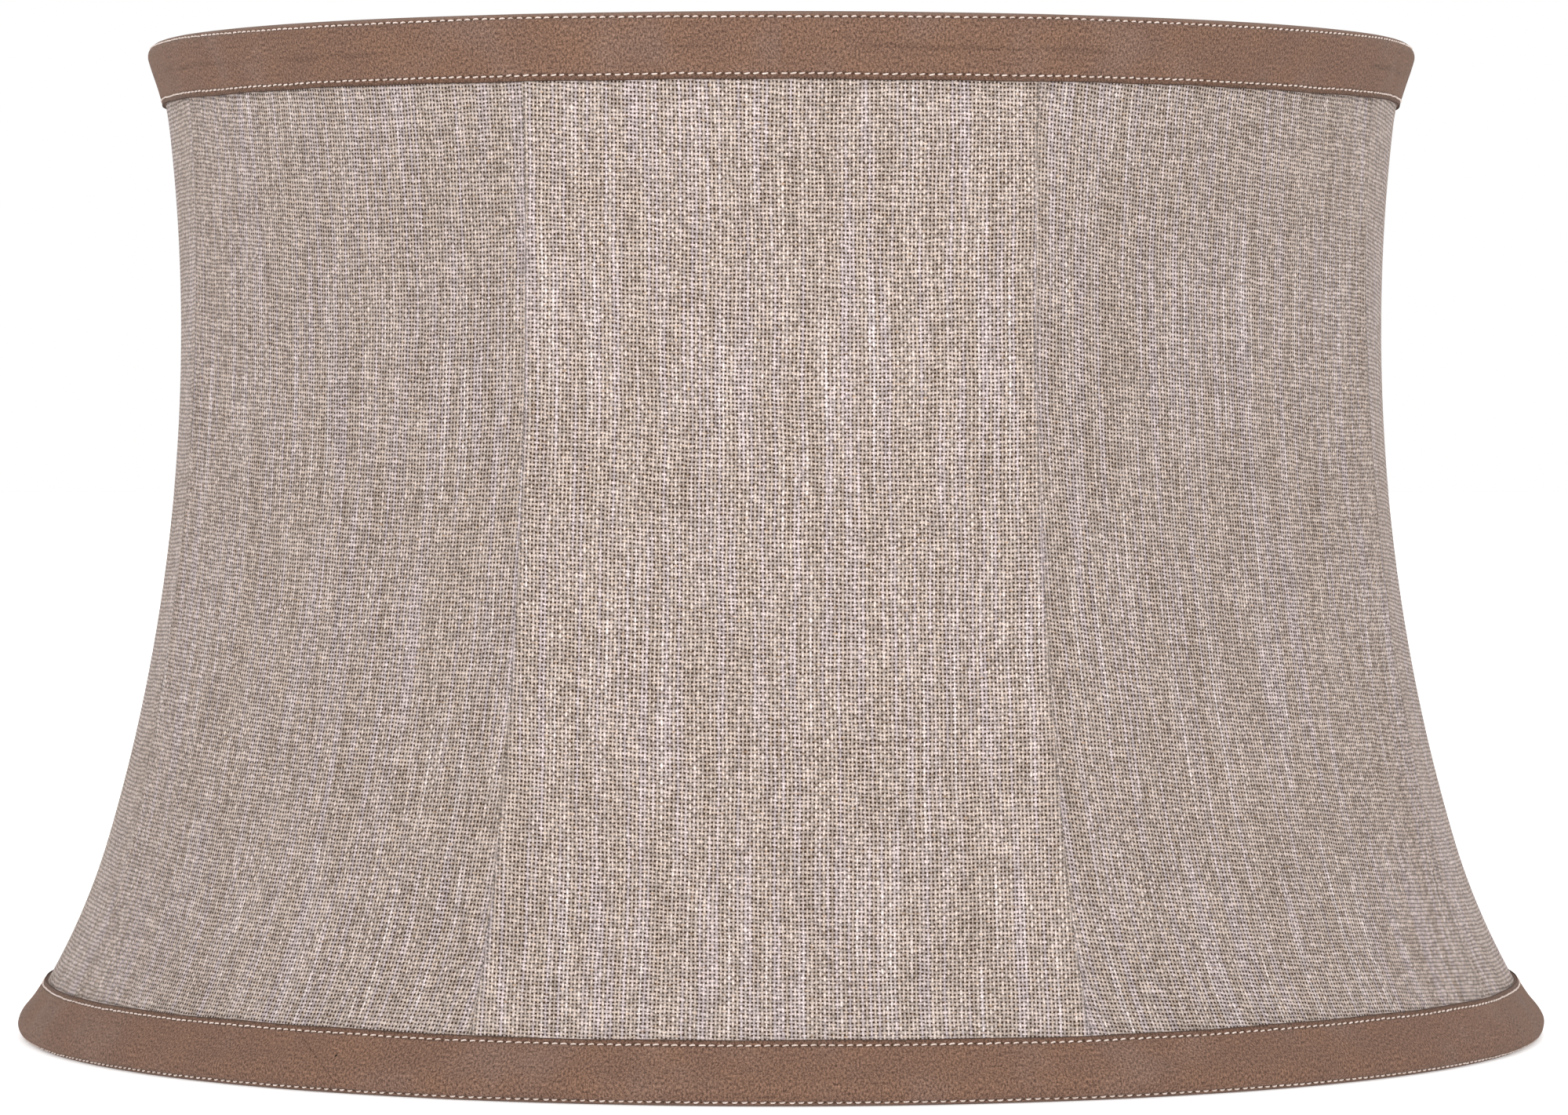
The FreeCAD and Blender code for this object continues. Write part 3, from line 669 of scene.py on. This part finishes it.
def half_circle(centre, start, sign, count):
    """Points on a half circle from a start, turning the way that sign says."""
    arm = start - centre
    angle = math.atan2(arm[1], arm[0]) + sign * math.pi * np.linspace(0, 1, count + 1)
    return centre + np.hypot(*arm) * np.stack([np.cos(angle), np.sin(angle)], axis=1)


def ribbon_face(line, end, roll, counts):
    """One face of a ribbon: along the outside, round the ring and along the inside."""
    sign = (1, -1)[end]
    base = (0, SHADE_HEIGHT)[end]
    centre = line.flares[end][0]
    outside = line.at_height(end, base + sign * RIBBON_HEIGHTS[end], COVER_ROLL - roll)
    inside = line.at_height(end, base + sign * RIBBON_TURN_IN, COVER_ROLL + roll)
    out_touch, in_touch = line.touch(end, COVER_ROLL - roll), line.touch(end, COVER_ROLL + roll)
    return chain(
        arc_points(centre, outside, out_touch, counts[0]),
        half_circle(RINGS[end], out_touch, -sign, counts[1]),
        arc_points(centre, in_touch, inside, counts[2]),
    )


def ribbon_section(line, end):
    """A ribbon's closed section: its outer face, the inner edge, its hidden face and back."""
    roll = COVER_ROLL + RIBBON_GAP
    outer = ribbon_face(line, end, roll + RIBBON_THICKNESS, (SUEDE_OUTER, SUEDE_TURN, SUEDE_INNER))
    hidden = ribbon_face(line, end, roll, (SUEDE_BACK, SUEDE_BACK, SUEDE_BACK))[::-1]
    edges = []
    for a, b in ((outer[-1], hidden[0]), (hidden[-1], outer[0])):
        middle, arm = (a + b) / 2, (a - b) / 2
        away = np.array([-arm[1], arm[0]]) * (1, -1)[end]
        angle = np.linspace(0, math.pi, 5)[1:-1, None]
        edges.append(middle + arm * np.cos(angle) + away * np.sin(angle))
    return np.concatenate([outer, edges[0], hidden, edges[1]])


def suede_finish(name, rows, end_line, dark_line, mark, phase):
    """Suede, with needle holes, painted dark as shade, in step with the stitches of the two rows.

    end_line is (u, slope, v) of the splice: it starts at u and v, and goes slope further in u
    for every millimetre in v. dark_line is the distance from the free edge of a faint rubbed
    line, or None. mark is the (u, v) of one small black speck of dirt, or None.
    """
    finish = Finish(name, Roughness=0.95, Sheen_Weight=0.05, Sheen_Roughness=0.5)
    finish.shader.inputs["Specular IOR Level"].default_value = 0.08
    m = finish.math
    uv = finish.cloth_uv()
    u, v = finish.split(uv)[:2]
    blotch = finish.noise(uv, 0.075, 3.0, rough=0.6)
    cloud = finish.noise(finish.join(u, v, 40.0), 0.05, 2.0)
    nap_place = finish.join(m("MULTIPLY", u, 1.9), m("MULTIPLY", v, 1.3), 5.0)
    nap = finish.noise(nap_place, 1.0, 4.0, rough=0.7)
    grain = finish.noise(uv, 2.3, 3.0, rough=0.7)
    speck = finish.noise(finish.join(u, v, 77.0), 1.5, 1.0)
    colour = finish.mix(finish.ramp(blotch, 0.35, 0.68), SUEDE, SUEDE_WARM)
    colour = finish.mix(finish.ramp(cloud, 0.45, 0.75, 0.0, 0.45), colour, SUEDE_GREY)
    colour = finish.tone(colour, finish.ramp(nap, 0.28, 0.72, 0.32, 1.68))
    colour = finish.tone(colour, finish.ramp(grain, 0.25, 0.75, 0.68, 1.32))
    colour = finish.tone(colour, finish.ramp(blotch, 0.2, 0.8, 0.93, 1.07))
    colour = finish.mix(finish.ramp(speck, 0.70, 0.80, 0.0, 0.5), colour, SUEDE_GREY)
    colour = finish.mix(finish.ramp(speck, 0.22, 0.31, 0.55, 0.0), colour, SUEDE_DARK)
    beyond = finish.ramp(v, rows[0] - 0.9, rows[0] - 0.3, 0.70, 1.0)
    colour = finish.tone(colour, beyond)
    # Painted shade: a thin dark line along the free edge, where the ribbon's edge stands off the
    # linen.
    colour = finish.mix(finish.ramp(v, 0.1, 0.4, 0.7, 0.0), colour, SUEDE_DARK)
    # Painted sheen: the suede turns lighter and greyer past the rim row, where it rolls round the
    # ring.
    rim_painted_sheen = finish.ramp(v, rows[1] + 0.4, rows[1] + 1.0, 0.0, 0.55)
    colour = finish.mix(rim_painted_sheen, colour, SUEDE_GREY)
    height = m("ADD", m("MULTIPLY", nap, 0.6), m("MULTIPLY", grain, 0.4))
    if dark_line:
        wander = m("MULTIPLY", finish.noise(finish.join(u, 0.0, 3.0), 0.06, 3.0), 3.0)
        gap = m("ABSOLUTE", m("SUBTRACT", m("SUBTRACT", v, dark_line), wander))
        weight = finish.ramp(finish.noise(finish.join(u, 0.0, 9.0), 0.04, 2.0), 0.4, 0.65, 0.0, 1.0)
        rubbed = m("MULTIPLY", finish.ramp(gap, 0.3, 1.1, 1.0, 0.0), weight)
        colour = finish.tone(colour, finish.ramp(rubbed, 0.0, 1.0, 1.0, 0.83))
    if mark:
        off_mark = m(
            "ADD",
            m("ABSOLUTE", m("SUBTRACT", u, mark[0])),
            m("ABSOLUTE", m("SUBTRACT", v, mark[1])),
        )
        colour = finish.mix(finish.ramp(off_mark, 0.30, 0.65, 0.95, 0.0), colour, DIRT)
    splice_u, slope, v_top = end_line
    splice_shift = m("MULTIPLY", m("SUBTRACT", v, v_top), slope)
    off_line = m("SUBTRACT", m("SUBTRACT", u, splice_u), splice_shift)
    in_band = m("MULTIPLY", m("GREATER_THAN", v, rows[0] + 0.2), m("LESS_THAN", v, rows[1] - 0.2))
    # Painted shade: a dark, patchy line along the splice, where one end laps over the other.
    splice_shade = finish.ramp(m("ABSOLUTE", off_line), 0.08, 0.30, 1.0, 0.0)
    shade_patchiness = finish.ramp(finish.noise(uv, 0.5, 2.0), 0.35, 0.62, 0.05, 0.65)
    splice_shade = m("MULTIPLY", m("MULTIPLY", splice_shade, in_band), shade_patchiness)
    colour = finish.mix(splice_shade, colour, SUEDE_DARK)
    over = m("MULTIPLY", finish.ramp(off_line, -0.3, 0.3, 1.0, 0.0), in_band)
    beside = finish.ramp(off_line, -12.0, -0.3)
    height = m("ADD", height, m("MULTIPLY", m("MULTIPLY", over, beside), 1.2))
    pitch = STITCH_PITCH / MM
    for row, shift in zip(rows, phase):
        step = m("SUBTRACT", m("FRACT", m("ADD", m("DIVIDE", u, pitch), shift)), 0.5)
        du = m("MULTIPLY", m("SUBTRACT", 0.5, m("ABSOLUTE", step)), pitch)
        dv = m("SUBTRACT", v, row)
        reach = m("SQRT", m("ADD", m("MULTIPLY", du, du), m("MULTIPLY", dv, dv)))
        # Painted shade: each needle hole is dark.
        hole = finish.ramp(reach, 0.22, 0.42, 0.8, 0.0)
        colour = finish.mix(hole, colour, SUEDE_DARK)
        pinch = finish.ramp(reach, 0.2, 0.9, 1.0, 0.0)
        height = m("SUBTRACT", height, m("MULTIPLY", pinch, 0.8))
        # Painted shade: the suede is darker in the groove along each row of stitches.
        groove_shade = finish.ramp(m("ABSOLUTE", dv), 0.2, 0.7, 0.84, 1.0)
        colour = finish.tone(colour, groove_shade)
    finish.use("Base Color", colour)
    finish.use("Normal", finish.bump(height, 0.22 * MM))
    return finish


def ribbon(name, node, end, splice_place, splice_run, dark_line, mark, phase, swell):
    """A ribbon round one ring; the result is its outer surface at the two rows of stitches."""
    place = np.arange(RIBBON_COLUMNS) * RIB_COUNT / RIBBON_COLUMNS
    panel = np.round(place)
    sections = [ribbon_section(line, end) for line in (PANEL_LINE, RIB_LINE)]
    points = panelled(*sections, panel, 2 * (place - panel))
    if end == 0:
        points = points[:, ::-1]
    face_count = SUEDE_OUTER + SUEDE_TURN + SUEDE_INNER + 1
    section = sections[0]
    length = running_length(section, 0)
    outer = np.arange(len(section)) < face_count
    edge_row = ROW_INSET * 1.08
    angle = np.arctan2(*(section - RINGS[end])[:, ::-1].T)
    on_turn = (np.arange(len(section)) >= SUEDE_OUTER) & outer
    rim_index = int(np.argmin(np.abs(angle - RIM_ROW_ANGLES[end]) + 9 * ~on_turn))
    edge_index = int(np.argmin(np.abs(length - edge_row) + 9 * ~outer))
    rows = (length[edge_index], length[rim_index])
    relief = np.zeros(len(section))
    for row in rows:
        relief -= GROOVE_DEPTH * np.exp(-(((length - row) / GROOVE_WIDTH) ** 2))
    middle = (rows[0] + rows[1]) / 2
    half = (rows[1] - rows[0]) / 2
    puff = np.clip(1 - ((length - middle) / half) ** 2, 0, 1)
    relief += 0.18 * MM * puff + swell * np.exp(-(((length - rows[1] + 6 * MM) / (3.4 * MM)) ** 2))
    relief = relief * outer
    turn = place[:, None] * 2 * math.pi / RIB_COUNT
    ripple = 0.10 * np.sin(17 * turn + end) + 0.07 * np.sin(41 * turn + 2)
    ripple = ripple + 0.05 * np.sin(73 * turn)
    relief = relief[None, :] + ripple * MM * (puff * outer)[None, :]
    edge_wave = 0.13 * np.sin(9 * turn + 1 + end) + 0.08 * np.sin(31 * turn)
    near_edge = np.exp(-((length / (2.5 * MM)) ** 2)) + (length > length[-5] - 0.5 * MM)
    if end == 0:
        relief, near_edge = relief[:, ::-1], near_edge[::-1]
    points = points + surface_normals(points, True, True) * relief[:, :, None]
    points[:, :, 2] += edge_wave * MM * np.clip(near_edge, 0, 1)[None, :]
    lap = np.append(length, length[-1] + np.linalg.norm(section[-1] - section[0]))
    v = lap[::-1] if end == 0 else lap
    u = np.linspace(0, STITCH_COUNTS[end] * STITCH_PITCH, RIBBON_COLUMNS + 1)
    u = np.broadcast_to(u[:, None], (len(u), len(v)))
    uv = np.stack([u, np.broadcast_to(v, u.shape)], axis=2)
    if end == 0:
        uv = np.stack([u, np.broadcast_to(np.append(length[::-1], -0.2 * MM), u.shape)], axis=2)
    rows_mm = (rows[0] / MM, rows[1] / MM)
    around = STITCH_COUNTS[end] * STITCH_PITCH / MM
    splice_u = splice_place % RIB_COUNT / RIB_COUNT * around
    end_line = (splice_u, splice_run / (rows_mm[1] - rows_mm[0]), rows_mm[0])
    if mark:
        mark = (mark[0] % RIB_COUNT / RIB_COUNT * around, mark[1])
    finish = suede_finish(f"brown suede, {name}", rows_mm, end_line, dark_line, mark, phase)
    piece = cloth_mesh(name, points, uv, finish, close_around=True, close_along=True)
    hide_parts(node)
    normals = surface_normals(points, True, True)
    last = len(section) - 1
    picked = [last - index if end == 0 else index for index in (edge_index, rim_index)]
    return [(points[:, index], normals[:, index]) for index in picked]


bottom_rows = ribbon(
    "bottom_ribbon", "bottom_trim", 0, -0.815, 21.0, None, (-0.722, 8.0), (0.0, 0.35), 0.6 * MM
)
top_rows = ribbon("top_ribbon", "top_trim", 1, 4.2, -9.0, 7.0, None, (0.2, 0.65), 0.1 * MM)

# --- Topstitching ---------------------------------------------------------------------------
# Two rows of off-white twisted thread on each ribbon, about ten stitches to the inch. Every
# stitch slants a little, stands proud in its middle and dives into a needle hole at each end.

THREAD_WHITE = (0.80, 0.68, 0.62, 1)
THREAD_SHADE = (0.46, 0.34, 0.28, 1)
THREAD_RADIUS = 0.235 * MM
STITCH_LENGTH = 1.72 * MM
STITCH_SLANT = math.radians(8)
STITCH_SIDES = 6
STITCH_RINGS = 6

thread = Finish("off-white topstitching thread", Roughness=0.6, Sheen_Weight=0.2)
thread.shader.inputs["Specular IOR Level"].default_value = 0.3
thread_uv = thread.cloth_uv()
thread_along, thread_round = thread.split(thread_uv)[:2]
# The twist's stripes are painted shade between the plies of the thread; the soil noise adds real
# dirt.
twist_phase = thread.math("ADD", thread.math("MULTIPLY", thread_along, 2.6), thread_round)
twist = thread.math("SINE", thread.math("MULTIPLY", twist_phase, 2 * math.pi))
soil = thread.noise(thread.source("Object"), 300.0, 2.0)
twist_shade_and_soil = thread.math("ADD", thread.math("MULTIPLY", twist, 0.22), soil)
thread_mix = thread.mix(thread.ramp(twist_shade_and_soil, 0.15, 0.75), THREAD_SHADE, THREAD_WHITE)
thread.use("Base Color", thread_mix)
thread.use("Normal", thread.bump(twist, 0.05 * MM))


def stitching(name, node, row, count, phase, seed):
    """One row of stitches along a closed line of (points, normals) that goes round the shade.

    Stitch i is centred at (i + 1/2 - phase) / count of the way round. With s from -1 to 1
    along it, its middle line is s of half its length forwards, and stands
    0.22 - 0.44 s^4 mm above the suede. Its radius shrinks towards the ends.
    """
    points, normals = (np.concatenate([part, part[:1]]) for part in row)
    ring_share = np.linspace(0, 1, len(points))
    random = np.random.default_rng(seed)

    def along(values, share):
        return np.stack([np.interp(share % 1, ring_share, values[:, k]) for k in range(3)], axis=1)

    jitter = random.normal(0, 1, (count, 4))
    share = (np.arange(count) + 0.5 - phase + 0.035 * jitter[:, 0]) / count
    centre, normal = along(points, share), along(normals, share)
    forward = along(points, share + 0.5 / count) - along(points, share - 0.5 / count)
    forward /= np.linalg.norm(forward, axis=1, keepdims=True)
    normal -= forward * np.sum(forward * normal, axis=1, keepdims=True)
    normal /= np.linalg.norm(normal, axis=1, keepdims=True)
    up = np.cross(normal, forward)
    up *= np.sign(up[:, 2:])
    slant = STITCH_SLANT + 0.045 * jitter[:, 1:2]
    lie = forward * np.cos(slant) + up * np.sin(slant)
    rise = up * np.cos(slant) - forward * np.sin(slant)
    length = STITCH_LENGTH * (1 + 0.06 * jitter[:, 2])
    centre = centre + up * (0.05 * MM * jitter[:, 3:4])
    s = np.linspace(-1, 1, STITCH_RINGS)
    round_angle = np.arange(STITCH_SIDES) * 2 * math.pi / STITCH_SIDES
    lift = (0.22 - 0.44 * s**4) * MM
    radius = THREAD_RADIUS * (1 - 0.45 * s**4)
    middle = (
        centre[:, None] + lie[:, None] * (s[:, None] * length[:, None, None] / 2)
        + normal[:, None] * lift[:, None]
    )
    ring = rise[:, None] * np.cos(round_angle)[:, None]
    ring = ring + normal[:, None] * np.sin(round_angle)[:, None]
    verts = middle[:, :, None] + ring[:, None] * radius[:, None, None]
    j, k = (grid.reshape(-1) for grid in np.mgrid[: STITCH_RINGS - 1, :STITCH_SIDES])
    quad = [(j, k), (j, k + 1), (j + 1, k + 1), (j + 1, k)]
    faces = np.stack([a * STITCH_SIDES + b % STITCH_SIDES for a, b in quad], axis=1)
    caps = np.array([[0, 1, 2, 3], [0, 3, 4, 5]])
    far = (STITCH_RINGS - 1) * STITCH_SIDES + caps[:, ::-1]
    faces = np.concatenate([faces, caps, far])
    size = STITCH_RINGS * STITCH_SIDES
    every = (faces[None] + (np.arange(count) * size)[:, None, None]).reshape(-1, 4)
    piece = grid_piece(name, verts.reshape(-1, 3), every, thread)
    maps = np.stack([faces // STITCH_SIDES * 0.34, faces % STITCH_SIDES / STITCH_SIDES], axis=2)
    maps[:len(j), 1:3, 1] = ((k + 1) / STITCH_SIDES)[:, None]
    layer = piece.data.uv_layers.new(name="cloth")
    layer.data.foreach_set("uv", np.tile(maps, (count, 1, 1)).reshape(-1))
    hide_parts(node)


for name, node, row, count, phase, seed in (
    ("bottom_edge_stitches", "bottom_upper_stitching", bottom_rows[0], STITCH_COUNTS[0], 0.0, 11),
    ("bottom_rim_stitches", "bottom_rim_stitching", bottom_rows[1], STITCH_COUNTS[0], 0.35, 12),
    ("top_edge_stitches", "top_lower_stitching", top_rows[0], STITCH_COUNTS[1], 0.2, 13),
    ("top_rim_stitches", "top_rim_stitching", top_rows[1], STITCH_COUNTS[1], 0.65, 14),
):
    stitching(name, node, row, count, phase, seed)

# --- Binding tape and neateners -------------------------------------------------------------
# Each ring is wound with thin cotton tape for the cloth to be sewn to, and a scrap of lining
# is rolled round each spider arm where it comes out through the lining.

TAPE_WIDTH = 10.0 * MM
TAPE_THICKNESS = 0.2 * MM
TAPE_RADIUS = 1.58 * MM
NEATENER_LENGTH = 10.0 * MM
NEATENER_SETBACK = 0.5 * MM


def wound_tape(name, node, ring):
    """Tape wound once along a whole ring.

    With n turns, a point a of the way along the tape and w across it is w plus a of the
    ring's length along the ring and n a turns round the wire.
    """
    girth = 2 * math.pi * ring[0]
    turns = round(girth / (TAPE_WIDTH * 0.98))
    a = np.linspace(0, 1, turns * 12 + 1)[:-1, None]
    w = np.linspace(0, TAPE_WIDTH * 0.97, 6)[None, :]
    turn = (a + w / girth) * 2 * math.pi
    twist = 2 * math.pi * turns * a + 0 * w
    swell = TAPE_RADIUS + 0.1 * MM * w / TAPE_WIDTH
    reach = ring[0] + swell * np.cos(twist)
    points = np.stack(
        [reach * np.cos(turn), reach * np.sin(turn), ring[1] + swell * np.sin(twist)], axis=2
    )
    uv = np.stack([a * turns * 9.9 * MM + 0 * w, w + 0 * a], axis=2)
    piece = cloth_mesh(name, points, uv, cotton)
    piece.data.flip_normals()
    thicken(piece, TAPE_THICKNESS * 0.5, inwards=False)
    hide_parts(node)


wound_tape("bottom_binding_tape", "bottom_ring_binding", BOTTOM_RING)
wound_tape("top_binding_tape", "top_ring_binding", TOP_RING)

for number in range(1, len(ARM_NODES) + 1):
    low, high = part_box(f"arm_neatener_{number}")
    middle = np.array([(low.x + high.x) / 2, (low.y + high.y) / 2, TOP_RING[1]])
    outward = np.array([middle[0], middle[1], 0]) / math.hypot(middle[0], middle[1])
    sideways = np.array([-outward[1], outward[0], 0])
    roll_turn = np.linspace(0, 2.3 * math.pi, 40)[:, None]
    reach = np.linspace(-0.5, 0.5, 14)[None, :]
    flare = 0.55 * np.clip(2 * reach, 0, 1) ** 3 + 0.10 * np.sin(3 * roll_turn + 9 * reach)
    tube = (1.62 + 0.075 * roll_turn + flare) * MM
    end_ruffle = 0.35 * MM * np.sin(2 * roll_turn + number) * (reach < -0.3)
    points = (
        middle
        + outward * (reach * NEATENER_LENGTH - NEATENER_SETBACK + end_ruffle)[:, :, None]
        + sideways * (tube * np.cos(roll_turn))[:, :, None]
        + np.array([0, 0, 1]) * (tube * np.sin(roll_turn))[:, :, None]
    )
    cloth_u, cloth_v = np.broadcast_arrays(roll_turn * 2 * MM, (reach + 0.5) * NEATENER_LENGTH)
    uv = np.stack([cloth_u, cloth_v], axis=2)
    neatener = cloth_mesh(f"neatener_{number}", points, uv, cotton)
    thicken(neatener, 0.35 * MM, inwards=False)
    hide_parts(f"arm_neatener_{number}")
